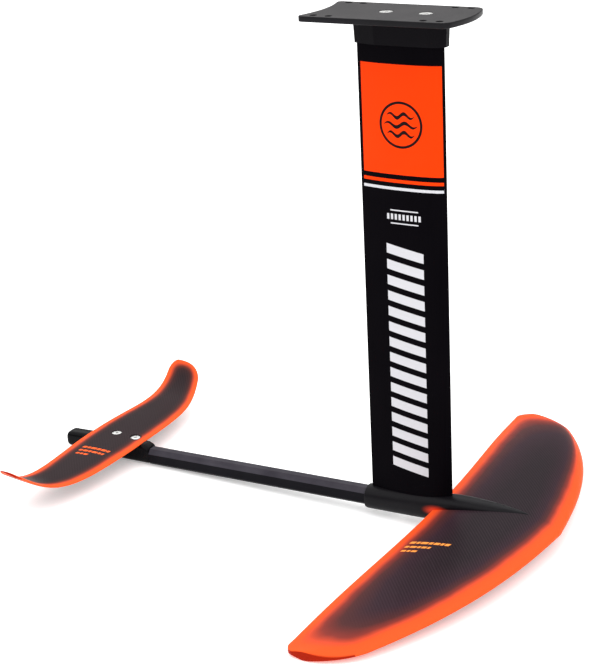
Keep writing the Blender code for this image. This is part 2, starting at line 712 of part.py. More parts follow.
def make_rear_mount():
    sides = (-MOUNT_HALF_WIDTH, MOUNT_HALF_WIDTH)
    rings = [[Vector((x, y, z)) for x, z in MOUNT_PROFILE] for y in sides]
    mount = loft("rear_wing_mount", rings, "moulding")
    rounding = mount.modifiers.new("edge_round", "BEVEL")
    rounding.width = MOUNT_ROUND
    rounding.segments = 2
    rounding.limit_method = "ANGLE"
    rounding.angle_limit = math.radians(40)
    rear, front = REAR_TENON["rear"] - GAP, MOUNT_FRONT_X + CUT_BEYOND
    pocket = loft("rear_wing_pocket_cutter", rear_wing_rings(POCKET_GAP, inner=True))
    cut(mount, tenon_box("rear_socket_cutter", REAR_TENON, rear, front, GAP), pocket)
    for i, x in enumerate(REAR_WING_SCREW_X, 1):
        size = hole_for(REAR_WING_SCREW)
        cut(mount, hole(f"mount_screw_cutter_{i}", x, 0, size, MOUNT_SCREW_HOLE_Z, CUT_REACH))
    cut(mount, countersink("mount_lock_cutter", MOUNT_LOCK_X, LOCK_SCREW, MOUNT_LOCK_SEAT_Z, 0, -1))
    return mount


def make_fuselage_screws():
    for place, x in zip(("rear", "front"), FOOT_SCREW_X):
        seat = POD_BOTTOM_Z + FOOT_SCREW_SINK
        countersunk_screw(f"mast_foot_screw_{place}", x, FOOT_SCREW, seat, FOOT_SCREW["length"], -1)
    seat = POD_BOTTOM_Z + LOCK_SCREW_SINK
    countersunk_screw("boom_lock_screw", BOOM_LOCK_X, LOCK_SCREW, seat, LOCK_SCREW["length"], -1)
    seat = MOUNT_LOCK_SEAT_Z
    countersunk_screw("mount_lock_screw", MOUNT_LOCK_X, LOCK_SCREW, seat, LOCK_SCREW["length"] - 3 * MM, -1)


def world_points(names):
    """The named pieces' corners, with their modifiers, in the assembly's own frame."""
    graph = bpy.context.evaluated_depsgraph_get()
    points = []
    for name in names:
        item = bpy.data.objects[name].evaluated_get(graph)
        points += [item.matrix_world @ vertex.co for vertex in item.data.vertices]
    return points


def tip_to_rest():
    """The turn about Y that brings the tail down level with the front wing's tips."""
    tips = world_points(["front_wing_lower_skin"])
    tail = world_points(["rear_wing_mount"])
    low, high = 0.0, math.radians(6)
    for _ in range(40):
        angle = (low + high) / 2
        turn = Matrix.Rotation(-angle, 3, "Y")
        if min((turn @ p).z for p in tips) < min((turn @ p).z for p in tail):
            low = angle
        else:
            high = angle
    return -angle


def stand_on_floor():
    """Hang every piece from one empty, turned and raised so that the foil stands on z = 0."""
    bpy.context.view_layer.update()
    pieces = [item for item in bpy.data.objects if item.type == "MESH"]
    angle = tip_to_rest()
    turn = Matrix.Rotation(angle, 3, "Y")
    solid = [item.name for item in pieces if not item.hide_render]
    points = [turn @ p for p in world_points(solid)]
    middle = (min(p.x for p in points) + max(p.x for p in points)) / 2
    stance = bpy.data.objects.new("stance", None)
    bpy.context.collection.objects.link(stance)
    stance.rotation_euler = (0, angle, 0)
    stance.location = (-middle, 0, -min(p.z for p in points))
    for item in pieces:
        item.parent = stance


def main():
    clear_scene()
    make_mast()
    make_inserts()
    make_plate()
    make_collar()
    make_plate_screws()
    make_pod()
    make_boom()
    make_fuselage_screws()
    make_front_wing()
    make_wing_bushings_and_screws()
    make_rear_mount()
    make_rear_wing()
    stand_on_floor()


main()
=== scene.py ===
"""Hydrofoil standing on a studio floor: mast, top plate, fuselage, tail boom and two wings.

Every new piece is modelled upright in the assembly's own frame, in metres: +X forward, +Y to
port, +Z up, x = 0 at the middle of the mast's chord, z = 0 on the fuselage's axis. STANCE then
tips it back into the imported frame, where the foil rests on the front wing's tips and the tail.
"""

import json
import math

import bmesh
import bpy
from mathutils import Matrix, Vector


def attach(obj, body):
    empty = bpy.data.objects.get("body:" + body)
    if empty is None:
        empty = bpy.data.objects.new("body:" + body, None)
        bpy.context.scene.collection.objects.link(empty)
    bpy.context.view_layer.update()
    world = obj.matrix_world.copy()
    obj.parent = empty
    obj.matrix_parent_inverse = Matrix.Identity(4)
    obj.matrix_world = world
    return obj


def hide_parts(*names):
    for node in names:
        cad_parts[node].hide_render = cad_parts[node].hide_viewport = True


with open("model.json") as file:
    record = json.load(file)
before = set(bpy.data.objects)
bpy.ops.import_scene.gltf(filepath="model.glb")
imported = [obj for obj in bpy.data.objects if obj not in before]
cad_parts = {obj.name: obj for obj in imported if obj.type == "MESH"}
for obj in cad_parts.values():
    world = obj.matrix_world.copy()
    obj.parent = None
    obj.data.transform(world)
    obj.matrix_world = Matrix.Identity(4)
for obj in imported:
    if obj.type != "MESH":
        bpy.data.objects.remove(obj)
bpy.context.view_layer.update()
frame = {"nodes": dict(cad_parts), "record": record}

MM = 0.001
GAP = 0.3 * MM
SIDES = (("starboard", -1), ("port", 1))

# Where the plate's board face is in the assembly's own frame; its place and direction in the
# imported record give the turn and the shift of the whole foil.
BOARD_FACE_AT = Vector((8.4 * MM, 0, 620 * MM))

# Mast.
MAST_CHORD = 111 * MM
MAST_HALF = 8.5 * MM
MAST_TAIL_HALF = 0.8 * MM
MAST_FULLEST = 0.35
MAST_TAPER_POWER = 2.4
MAST_FOOT_Z = 9 * MM
MAST_TOP_Z = 612.7 * MM
PRINT_FILM = 0.12 * MM
# The pale column on the mast's sides, in mm: its width in x, and its bars.
COLUMN_X = (-22, 27)
COLUMN_TOP = 344
COLUMN_BOTTOM = 37
COLUMN_BAR = 12
COLUMN_SLANT = 9
COLUMN_PITCH = 20

# Plate and collar.
PLATE_TOP_Z = 620 * MM
PLATE_THICKNESS = 7 * MM
PLATE_REAR_X = -107 * MM
PLATE_FRONT_X = 81.5 * MM
PLATE_HALF_WIDTH = 54 * MM
PLATE_ARC_DEPTH = 10 * MM
PLATE_CORNER = 9 * MM
PLATE_ARC_SHARE = 0.8
PLATE_EDGE_ROUND = 1.2 * MM
BOARD_BOLT_X = (-87.5 * MM, -68 * MM, 50 * MM, 70 * MM)
BOARD_BOLT_Y = 45 * MM
BOARD_BOLT_HOLE = 8.5 * MM

# Fuselage pod: x, top, bottom, half width of its sections.
POD_ROUNDNESS = 2.2
POD_STATIONS = (
    (-62.5, 12.4, -13, 12.7),
    (-61.4, 13.7, -15.4, 14.3),
    (-58, 14.6, -16.9, 15.8),
    (-30, 15.3, -16.9, 15.8),
    (5, 16.6, -16.9, 15.8),
    (26, 17.8, -16, 15.8),
    (38, 18.6, -12.5, 15.8),
    (50, 19.4, -6.5, 15.7),
    (62, 20, -2, 15.5),
    (80, 20, 0, 14.8),
    (100, 19.2, 1, 13.2),
    (118, 17.9, 3, 10.8),
    (134, 16.4, 5, 7.8),
    (146, 14.8, 7, 4.8),
    (156, 13, 9, 1.6),
)

# Tail block, its top domed: x, top, bottom, half width of its sections.
MOUNT_ROUNDNESS = 3.4
MOUNT_STATIONS = (
    (-525.8, 13, -0.5, 8.5),
    (-525.2, 14.6, -2.8, 10.2),
    (-523, 16, -4.4, 11.2),
    (-518, 16.8, -5.4, 11.5),
    (-490, 17.3, -7.6, 11.5),
    (-470, 17.8, -9.4, 11.5),
    (-430, 17.5, -10.9, 11.5),
    (-403, 16.8, -11, 11.5),
    (-397, 15.4, -11, 11.5),
    (-393.5, 13.2, -10.7, 11.3),
    (-392, 11, -10.1, 10.6),
    (-391.5, 9.8, -9.2, 9.8),
)

# Wings: half span, root and tip thickness, camber and where it is fullest, tail thickness,
# the corner radii at the tip's nose and tail, and how far the tip's top is filled at its tail.
FRONT_WING = {
    "half_span": 355 * MM, "root": 20.5 * MM, "tip": 9 * MM, "camber": 0.04, "fullest": 0.35,
    "tail": 1.2 * MM, "nose_round": 36 * MM, "tail_round": 14 * MM, "tip_fill": 4 * MM,
}
REAR_WING = {
    "half_span": 210.5 * MM, "root": 8 * MM, "tip": 4 * MM, "camber": 0.012, "fullest": 0.4,
    "tail": 1 * MM, "nose_round": 18 * MM, "tail_round": 15 * MM, "tip_fill": 0,
}
TIP_EDGE_ROUND = 0.6 * MM
TIP_FILL_POWER = 14
SOFT_POWER = 0.6
THINNING_POWER = 4.5
# Outline curves against y: at the middle, straight and curved sweep, and its power; at the tip,
# swell at the middle and its half wave; height at the middle, fall, the y it falls by there, power.
FRONT_LEAD_SWEEP = (199 * MM, 0.1, 1.297, 2.55)
FRONT_TRAIL_SWELL = (5.5 * MM, 29.5 * MM, 400 * MM)
FRONT_LEAD_DROOP = (-6.2 * MM, 14.5 * MM, 350 * MM, 2.5)
FRONT_TRAIL_DROOP = (2.2 * MM, 22.2 * MM, 344 * MM, 1.8)
# The rear wing's curves are against the fraction of its half span.
REAR_LEAD_SWEEP = (-403.4 * MM, 37.3 * MM, 2.13)
REAR_TRAIL_SWEEP = (-484.3 * MM, 2.8 * MM, 8.5 * MM)
REAR_HEIGHT = (16.7 * MM, 18.7 * MM, 48 * MM, 5.57)
REAR_WING_TILT = 5 * MM
THICKNESS_TAPER_POWER = 1.6
WING_SCREW_X = (66 * MM, 86 * MM, 106 * MM)
REAR_WING_SCREW_X = (-447.5 * MM, -417.5 * MM)
PLATE_SCREW_X = (-16.7 * MM, 33.2 * MM)
FOOT_SCREW_X = (-16.7 * MM, 17 * MM)

# Screws: head, shank, key across flats, length.
PLATE_SCREW = (16.5 * MM, 8 * MM, 5 * MM, 44 * MM)
FOOT_SCREW = (15 * MM, 8 * MM, 5 * MM, 50 * MM)
WING_SCREW = (12 * MM, 6 * MM, 4 * MM, 20 * MM)
REAR_WING_SCREW = (13.5 * MM, 6 * MM, 4 * MM, 24 * MM)
SCREW_COVER = 3 * MM
LOCK_SCREW = (10 * MM, 5 * MM, 3 * MM, 11 * MM)

# Where the hidden screws sit: x, and the height of the face their heads pull against.
HEAD_DEPTH = 0.9 * MM
FOOT_SCREW_SEAT = -14.6 * MM
FOOT_HOLE_DEPTH = 18 * MM
BOOM_LOCK_X = -48 * MM
BOOM_LOCK_SEAT = -15.6 * MM
BOOM_LOCK_LENGTH = 14 * MM
MOUNT_LOCK_X = -465 * MM
MOUNT_LOCK_SEAT = -8.6 * MM
LOCK_HOLE_DEPTH = 10 * MM
REAR_SCREW_SUNK = 0.4 * MM
BUSHING_HOLE = 8.3 * MM
WING_POCKET_Y = (-40, -20, 0, 20, 40)
POCKET_SWELL = 0.25 * MM

# Prints on the mast's sides, in mm. Panels and lines are rear x, front x, low z, high z.
ORANGE_PANELS = ((-51, 53, 430, 561), (-51.5, 53, 420, 424))
PALE_LINES = ((-51.8, 53, 411, 414.5), (-15.2, 21.4, 385.3, 386.8), (-15.2, 21.4, 369.2, 370.7))
TICKS = 9
TICK_X = -20
TICK_WIDTH = 3
TICK_PITCH = 5.2
TICK_Z = (374.5, 381.5)
# The round badge: its middle, its ring's radii, and the height and length of each wave in it.
BADGE_X = 1.5
BADGE_Z = 490
BADGE_RING = (28, 25)
BADGE_WAVES = ((501, 36), (490, 44), (479, 36))
WAVE_HEIGHT = 2.6
WAVE_WIDTH = 4.6
BADGE_LIFT = 0.1 * MM

# Rows of dashes on the wings, in mm: y, height, where the row starts in x, length of each dash.
DASH_SPACE = 1.6
FRONT_MARKS = (
    (-107.5, 5.2, 47, (7, 4, 9, 5, 7, 4, 6)),
    (-118.5, 4.4, 45, (5, 8, 4, 6, 3.5)),
    (-129.0, 4.0, 44.5, (6, 4, 7)),
)
REAR_MARKS = (
    (-54.5, 4.6, -465, (6, 4, 8, 5, 7, 4)),
    (-64.0, 4.2, -465, (5, 7, 4, 8, 4, 3)),
    (-73.0, 3.8, -464, (5, 4, 6)),
)

# How far the spray reaches in: from the front wing's tail and tip, as scales of a soft fade, and
# from the rear wing's, as shares of the distance. Screws on the rear wing are masked off.
FRONT_TAIL_FADE = 3.1
FRONT_TIP_FADE = 2.2
FRONT_NOSE_THINNING = 5.0
REAR_TAIL_SHARE = 0.9
REAR_TIP_SHARE = 1.6
FRONT_REACH = 36 * MM
REAR_REACH = 18 * MM
MASK_MARGIN = 0.2 * MM

# Paint and cloth.
GLOW_AT = Vector((40 * MM, 16 * MM, 1.5 * MM))
GLOW_STRETCH = 0.4
RIB_PITCH = 3.4 * MM
RIB_SCALE = math.pi / 10 / RIB_PITCH
RIB_TURN = math.radians(-38)
FRONT_STOPS = (
    (0.0, "F65A28"), (0.27, "F25426"), (0.36, "D24A2E"), (0.46, "84342C"), (0.58, "4E2A2A"),
    (0.75, "34222A"), (1.0, "241B20"),
)
REAR_STOPS = (
    (0.0, "F65C2A"), (0.24, "EE5528"), (0.38, "BC442C"), (0.52, "683028"), (0.7, "3C2626"),
    (1.0, "2C2224"),
)


def stance():
    """The move from the assembly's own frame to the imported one."""
    face = next(mount for mount in frame["record"]["mounts"] if mount["name"] == "board_face")
    turn = Matrix.Rotation(math.asin(face["axis"][0]), 4, "Y")
    return Matrix.Translation(Vector(face["pos_m"]) - turn.to_3x3() @ BOARD_FACE_AT) @ turn


STANCE = stance()


# ---------------------------------------------------------------- materials


def linear(code, alpha=1.0):
    """An sRGB hex colour as linear RGBA."""
    channels = [int(code[i:i + 2], 16) / 255 for i in (0, 2, 4)]
    flat = [c / 12.92 if c <= 0.04045 else ((c + 0.055) / 1.055) ** 2.4 for c in channels]
    return (*flat, alpha)


def add(material, kind, inputs=None, **settings):
    """Add one node. Settings go on the node; inputs go on its sockets, as values or links."""
    node = material.node_tree.nodes.new("ShaderNode" + kind)
    for name, value in settings.items():
        setattr(node, name, value)
    for socket, value in (inputs or {}).items():
        if isinstance(value, bpy.types.NodeSocket):
            material.node_tree.links.new(value, node.inputs[socket])
        else:
            node.inputs[socket].default_value = value
    return node


def link(material, output, target):
    material.node_tree.links.new(output, target)


def start(name, colour, roughness, **sockets):
    """A material whose Principled shader has its even values set."""
    material = bpy.data.materials.new(name)
    material.use_nodes = True
    shader = material.node_tree.nodes["Principled BSDF"]
    shader.inputs["Base Color"].default_value = linear(colour)
    shader.inputs["Roughness"].default_value = roughness
    for socket, value in sockets.items():
        shader.inputs[socket.replace("_", " ")].default_value = value
    return material, shader


def place_in_assembly(material, scale=(1, 1, 1)):
    """Object coordinates turned upright with the mast, in metres, stretched by scale."""
    where = add(material, "TexCoord").outputs["Object"]
    back = STANCE.inverted()
    upright = add(
        material, "Mapping",
        {"Vector": where, "Location": back.to_translation(), "Rotation": back.to_euler()},
    ).outputs["Vector"]
    if tuple(scale) == (1, 1, 1):
        return upright
    return add(material, "Mapping", {"Vector": upright, "Scale": scale}).outputs["Vector"]


def ramp(material, factor, stops):
    """A colour ramp through (position, sRGB hex) stops."""
    node = add(material, "ValToRGB", {"Fac": factor})
    elements = node.color_ramp.elements
    while len(elements) < len(stops):
        elements.new(0.5)
    for element, (position, colour) in zip(elements, stops):
        element.position = position
        element.color = linear(colour)
    return node.outputs["Color"]


def noise(material, vector, scale, detail=3.0, rough=0.5):
    inputs = {"Vector": vector, "Scale": scale, "Detail": detail, "Roughness": rough}
    return add(material, "TexNoise", inputs).outputs["Fac"]


def between(material, value, low, high):
    """A zero to one value spread over low to high."""
    return add(material, "MapRange", {"Value": value, "To Min": low, "To Max": high}).outputs["Result"]


def maths(material, operation, *values):
    inputs = dict(enumerate(values))
    return add(material, "Math", inputs, operation=operation).outputs["Value"]


def blend(material, factor, first, second, kind="MIX"):
    node = add(material, "Mix", data_type="RGBA", blend_type=kind)
    for socket, value in ((0, factor), (6, first), (7, second)):
        if isinstance(value, bpy.types.NodeSocket):
            link(material, value, node.inputs[socket])
        else:
            node.inputs[socket].default_value = value
    return node.outputs[2]


def bump(material, shader, height, distance, strength=1.0):
    inputs = {"Height": height, "Distance": distance, "Strength": strength}
    link(material, add(material, "Bump", inputs).outputs["Normal"], shader.inputs["Normal"])


def upward(material, low, high):
    """A zero to one value: how far a face looks up, spread over the Z of its normal."""
    normal = add(material, "TexCoord").outputs["Normal"]
    height = add(material, "SeparateXYZ", {"Vector": normal}).outputs["Z"]
    inputs = {"Value": height, "From Min": low, "From Max": high}
    return add(material, "MapRange", inputs).outputs["Result"]


def black_anodised_extrusion():
    """Black anodised 6061 extrusion: near black and satin, with faint die lines up its length."""
    material, shader = start("black_anodised_extrusion", "060407", 0.5, Specular_IOR_Level=0.01)
    streaks = noise(material, place_in_assembly(material, (1100, 1100, 9)), 1.0, 4.0)
    cloud = noise(material, place_in_assembly(material), 14.0, 2.0)
    tone = ramp(material, cloud, ((0.3, "040305"), (0.7, "09070A")))
    link(material, blend(material, streaks, tone, linear("0A080C")), shader.inputs["Base Color"])
    link(material, between(material, streaks, 0.36, 0.5), shader.inputs["Roughness"])
    bump(material, shader, streaks, 0.02 * MM, 0.5)
    return material


def anodised_plate():
    """Bead blasted, black anodised plate: charcoal, with grey flecks painted as the glint of its fine
    tooth, which shows when it is seen from low down, and its upward faces painted lighter than its sides
    as painted light from above. Real grit marks are 0.1 mm; they are drawn at 0.6 mm so that they show."""
    material, shader = start("black_anodised_plate", "0E0D10", 0.42, Specular_IOR_Level=0.1)
    where = place_in_assembly(material)
    tooth = noise(material, where, 1700.0, 2.0)
    cloud = noise(material, where, 22.0, 3.0)
    # Painted light: top, given to upward faces, is a lit copy of the darker side tone.
    side = ramp(material, cloud, ((0.3, "0A090C"), (0.7, "100F13")))
    top = ramp(material, cloud, ((0.3, "323132"), (0.7, "3B393A")))
    tone = blend(material, upward(material, 0.6, 0.95), side, top)
    # Painted glint: the tooth's flecks mix the tone up to a fifth of the way to grey.
    link(material, blend(material, between(material, tooth, 0.0, 0.2), tone, linear("3E3D3F")),
         shader.inputs["Base Color"])
    link(material, between(material, tooth, 0.34, 0.5), shader.inputs["Roughness"])
    bump(material, shader, tooth, 0.05 * MM, 0.4)
    return material


def glass_filled_moulding(name, colour, low, high, specular):
    """Glass filled nylon, injection moulded: black, with a faint orange peel skin and softer
    patches where the mould was spark eroded."""
    material, shader = start(name, colour, low, Specular_IOR_Level=specular)
    where = place_in_assembly(material)
    peel = noise(material, where, 900.0, 2.0)
    cloud = noise(material, where, 30.0, 3.0)
    shade = blend(material, between(material, cloud, 0.0, 0.4), linear(colour), linear("161418"))
    link(material, shade, shader.inputs["Base Color"])
    link(material, between(material, cloud, low, high), shader.inputs["Roughness"])
    bump(material, shader, peel, 0.04 * MM, 0.35)
    return material, shader


def pod_casting():
    """The pod: soft black over cast aluminium, with an orange haze low on each side, where the wing's tail
    leaves it."""
    material, shader = glass_filled_moulding("black_coated_casting", "0A080C", 0.34, 0.48, 0.12)
    shade = shader.inputs["Base Color"].links[0].from_socket
    parts = add(material, "SeparateXYZ", {"Vector": place_in_assembly(material)})
    across = maths(material, "ABSOLUTE", parts.outputs["Y"])
    along = maths(material, "MULTIPLY", parts.outputs["X"], GLOW_STRETCH)
    folded = add(material, "CombineXYZ", {"X": along, "Y": across, "Z": parts.outputs["Z"]})
    centre = Vector((GLOW_AT.x * GLOW_STRETCH, GLOW_AT.y, GLOW_AT.z))
    reach = add(
        material, "VectorMath", {0: folded.outputs["Vector"], 1: centre}, operation="DISTANCE"
    ).outputs["Value"]
    haze = add(material, "MapRange", {
        "Value": reach, "From Min": 1 * MM, "From Max": 9 * MM, "To Min": 0.85, "To Max": 0.0,
    }, interpolation_type="SMOOTHSTEP").outputs["Result"]
    link(material, blend(material, haze, shade, linear("F0401C")), shader.inputs["Base Color"])
    return material


def boom_extrusion():
    """The boom: black anodised bar with die marks along it. Its upward faces are painted greyer than its
    sides, as painted light from above."""
    material, shader = start("boom_extrusion", "08070A", 0.38, Specular_IOR_Level=0.05)
    streaks = noise(material, place_in_assembly(material, (8, 1500, 1500)), 1.0, 4.0)
    cloud = noise(material, place_in_assembly(material), 40.0, 3.0)
    # Painted light: top, given to upward faces, is a lit copy of the darker side tone.
    side = ramp(material, cloud, ((0.3, "060509"), (0.7, "0D0C11")))
    top = ramp(material, cloud, ((0.3, "343138"), (0.7, "434047")))
    tone = blend(material, upward(material, 0.45, 0.65), side, top)
    link(material, blend(material, between(material, streaks, 0, 0.35), tone, linear("1E1D22")),
         shader.inputs["Base Color"])
    link(material, between(material, streaks, 0.3, 0.48), shader.inputs["Roughness"])
    bump(material, shader, streaks, 0.03 * MM, 0.6)
    return material


def stainless(name, low, high):
    """A2 stainless steel: bright, with the lathe's fine rings on turned faces."""
    material, shader = start(name, "DCDCDA", low, Metallic=1.0)
    where = place_in_assembly(material)
    grain = noise(material, where, 1400.0, 2.0)
    cloud = noise(material, where, 180.0, 2.0)
    tone = ramp(material, cloud, ((0.3, "D2D2D0"), (0.7, "E8E8E6")))
    link(material, tone, shader.inputs["Base Color"])
    link(material, between(material, grain, low, high), shader.inputs["Roughness"])
    bump(material, shader, grain, 0.01 * MM, 0.3)
    return material


def print_ink(name, colour, deeper, roughness):
    """Screen printed epoxy ink on the anodising: flat and even, with a slightly dusty film.
    Screen mesh is 0.1 mm; its texture is drawn at 0.7 mm so that it shows."""
    material, shader = start(name, colour, roughness, Specular_IOR_Level=0.05)
    where = place_in_assembly(material)
    mesh = noise(material, where, 1300.0, 2.0)
    cloud = noise(material, where, 18.0, 2.0)
    mixed = blend(material, between(material, cloud, 0.0, 0.5), linear(colour), linear(deeper))
    fleck = maths(material, "MULTIPLY", mesh, 0.25)
    link(material, blend(material, fleck, mixed, linear(deeper)), shader.inputs["Base Color"])
    link(material, between(material, mesh, roughness - 0.06, roughness + 0.08), shader.inputs["Roughness"])
    bump(material, shader, mesh, 0.02 * MM, 0.4)
    return material


def sprayed_carbon(name, stops, reach, rib_share, cut_from):
    """Stitched carbon cloth under satin lacquer, with orange airbrushed in from the edges. Each stop is
    the share of reach in from the edge, and the paint's colour there. The tows lie on the bias, 3.4 mm
    apart, and show as fine ribs. On the cut tip ends, outward of cut_from, the faces that look sideways
    are painted a deeper red as painted shade."""
    material, shader = start(name, "3C3032", 0.45, Specular_IOR_Level=0.04)
    where = place_in_assembly(material)
    inward = add(material, "Attribute", attribute_name="edge_distance").outputs["Fac"]
    drift = between(material, noise(material, where, 26.0, 2.0), -1.4 * MM, 1.4 * MM)
    depth = maths(material, "DIVIDE", maths(material, "ADD", inward, drift), reach)
    paint = ramp(material, depth, stops)
    turned = add(material, "Mapping", {"Vector": where, "Rotation": (0, 0, RIB_TURN)}).outputs["Vector"]
    ribs = add(material, "TexWave", {
        "Vector": turned, "Scale": RIB_SCALE, "Distortion": 0.6, "Detail": 1.0, "Detail Scale": 4.0,
    }, bands_direction="X", wave_profile="SIN").outputs["Fac"]
    fibre = noise(material, add(
        material, "Mapping", {"Vector": turned, "Scale": (900, 60, 60)}
    ).outputs["Vector"], 1.0, 3.0)
    ridge = between(material, ribs, 0.35, 1.0)
    weave = maths(material, "MULTIPLY", ridge, between(material, fibre, 0.5, 1.3))
    inside = add(material, "MapRange", {
        "Value": depth, "From Min": 0.45, "From Max": 1.0, "To Min": 0.0, "To Max": rib_share,
    }, interpolation_type="SMOOTHSTEP").outputs["Result"]
    dark = blend(material, 1.0, paint, linear("6E6668"), "MULTIPLY")
    bright = blend(material, 1.0, paint, linear("241F21"), "ADD")
    cloth = blend(material, inside, paint, blend(material, weave, dark, bright))
    # Painted shade: on the tip ends outward of cut_from, faces that look sideways are mixed to deep red.
    facing = add(material, "SeparateXYZ", {"Vector": add(material, "TexCoord").outputs["Normal"]})
    upright = add(material, "MapRange", {
        "Value": maths(material, "ABSOLUTE", facing.outputs["Z"]),
        "From Min": 0.35, "From Max": 0.6, "To Min": 1.0, "To Max": 0.0,
    }).outputs["Result"]
    across = add(material, "SeparateXYZ", {"Vector": where}).outputs["Y"]
    at_tip = maths(material, "GREATER_THAN", maths(material, "ABSOLUTE", across), cut_from)
    tip_end_painted_shade = maths(material, "MULTIPLY", upright, at_tip)
    link(material, blend(material, tip_end_painted_shade, cloth, linear("A01F07")), shader.inputs["Base Color"])
    link(material, between(material, fibre, 0.36, 0.5), shader.inputs["Roughness"])
    height = maths(material, "MULTIPLY", weave, inside)
    bump(material, shader, height, 0.05 * MM, 0.5)
    return material


def foam():
    """Closed cell PVC foam: cream, with 0.8 mm cells."""
    material, shader = start("closed_cell_foam", "D9D2BC", 0.85)
    cells = add(material, "TexVoronoi", {"Vector": place_in_assembly(material), "Scale": 1200.0})
    link(material, ramp(material, cells.outputs["Distance"], ((0.0, "C9C0A6"), (0.6, "E6E0CC"))),
         shader.inputs["Base Color"])
    bump(material, shader, cells.outputs["Distance"], 0.2 * MM, 0.5)
    return material


MAST_BLACK = black_anodised_extrusion()
PLATE_BLACK = anodised_plate()
COLLAR_BLACK = glass_filled_moulding("satin_black_collar", "08060A", 0.42, 0.56, 0.05)[0]
MOUNT_BLACK = glass_filled_moulding("gloss_black_nylon", "040405", 0.2, 0.32, 0.07)[0]
POD_BLACK = pod_casting()
BOOM_BLACK = boom_extrusion()
SCREW_STEEL = stainless("stainless_screw", 0.34, 0.48)
INSERT_STEEL = stainless("turned_stainless_insert", 0.28, 0.42)
PRINT_ORANGE = print_ink("orange_screen_ink", "FF3E00", "F43600", 0.5)
PRINT_WHITE = print_ink("silver_grey_screen_ink", "D2D2D6", "C2C2C8", 0.4)
PRINT_BLACK = print_ink("black_screen_ink", "161010", "0E0A0A", 0.45)
MARK_AMBER = print_ink("amber_pad_ink", "FFA04C", "F08A38", 0.45)
MARK_ORANGE = print_ink("orange_pad_ink", "FF6A30", "F05A24", 0.45)
FRONT_SPRAY = sprayed_carbon("sprayed_carbon_front", FRONT_STOPS, FRONT_REACH, 0.6, 333 * MM)
REAR_SPRAY = sprayed_carbon("sprayed_carbon_rear", REAR_STOPS, REAR_REACH, 0.25, 208 * MM)
CORE_FOAM = foam()


# ---------------------------------------------------------------- mesh helpers


def loft(rings):
    """A body through rings of points: a flat grid is rolled up into a tube and its ends filled."""
    around, along = len(rings[0]), len(rings) - 1
    bm = bmesh.new()
    bmesh.ops.create_grid(bm, x_segments=around, y_segments=along, size=0.5)
    for vert in bm.verts:
        column = round((vert.co.x + 0.5) * around) % around
        row = round((vert.co.y + 0.5) * along)
        vert.co = rings[row][column]
    bmesh.ops.remove_doubles(bm, verts=bm.verts, dist=0.5e-6)
    bmesh.ops.holes_fill(bm, edges=[edge for edge in bm.edges if edge.is_boundary], sides=0)
    bmesh.ops.recalc_face_normals(bm, faces=bm.faces)
    return bm


def round_edges(bm, width, segments=3, angle=30):
    """Round every edge that turns by more than angle degrees."""
    sharp = [e for e in bm.edges if e.is_manifold and e.calc_face_angle() > math.radians(angle)]
    bmesh.ops.bevel(
        bm, geom=sharp, offset=width, offset_type="OFFSET", segments=segments, profile=0.5,
        affect="EDGES", material=-1, clamp_overlap=True,
    )


def slab(outline, low, high):
    """An upright solid from an outline of (x, y) points."""
    bm = bmesh.new()
    face = bm.faces.new([bm.verts.new((x, y, low)) for x, y in outline])
    grown = bmesh.ops.extrude_face_region(bm, geom=[face])["geom"]
    raised = [part for part in grown if isinstance(part, bmesh.types.BMVert)]
    bmesh.ops.translate(bm, verts=raised, vec=(0, 0, high - low))
    bmesh.ops.recalc_face_normals(bm, faces=bm.faces)
    return bm


def cone(x, y, low, high, low_radius, high_radius, segments=48):
    """A capped cone or cylinder standing upright on (x, y)."""
    bm = bmesh.new()
    bmesh.ops.create_cone(
        bm, cap_ends=True, segments=segments, radius1=low_radius, radius2=high_radius,
        depth=high - low, matrix=Matrix.Translation((x, y, (low + high) / 2)),
    )
    return bm


def as_object(name, bm):
    mesh = bpy.data.meshes.new(name)
    bm.to_mesh(mesh)
    bm.free()
    item = bpy.data.objects.new(name, mesh)
    bpy.context.scene.collection.objects.link(item)
    return item


def carve(bm, cutters):
    """Cut closed bodies out of a closed body, one after another."""
    body = as_object("carving", bm)
    tools = [as_object(f"carving_tool_{i}", cutter) for i, cutter in enumerate(cutters)]
    for tool in tools:
        modifier = body.modifiers.new(tool.name, "BOOLEAN")
        modifier.operation = "DIFFERENCE"
        modifier.solver = "EXACT"
        modifier.object = tool
    bpy.context.view_layer.update()
    carved = bmesh.new()
    carved.from_object(body, bpy.context.evaluated_depsgraph_get())
    for item in [body, *tools]:
        mesh = item.data
        bpy.data.objects.remove(item)
        bpy.data.meshes.remove(mesh)
    return carved


def piece(name, bm, material, nodes=(), smooth=30, edge_distance=None):
    """Make a finished piece: in its place, riding on the body, standing for its CAD nodes."""
    item = as_object(name, bm)
    mesh = item.data
    mesh.validate()
    if edge_distance is not None:
        values = [edge_distance(vertex.co) for vertex in mesh.vertices]
        mesh.attributes.new("edge_distance", "FLOAT", "POINT").data.foreach_set("value", values)
    mesh.transform(STANCE)
    mesh.shade_smooth()
    mesh.set_sharp_from_angle(angle=math.radians(smooth))
    mesh.materials.clear()
    mesh.materials.append(material)
    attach(item, "root")
    if nodes:
        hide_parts(*nodes)


def keep(node, material, edge=0.0):
    """A CAD node whose shape is right: a real finish, and softly rounded edges."""
    item = frame["nodes"][node]
    item.data.materials.clear()
    item.data.materials.append(material)
    if edge:
        weld = item.modifiers.new("weld", "WELD")
        weld.merge_threshold = 0.01 * MM
        rounding = item.modifiers.new("edge_round", "BEVEL")
        rounding.width = edge
        rounding.segments = 2
        rounding.limit_method = "ANGLE"
        rounding.angle_limit = math.radians(32)
        rounding.harden_normals = True


# ---------------------------------------------------------------- mast


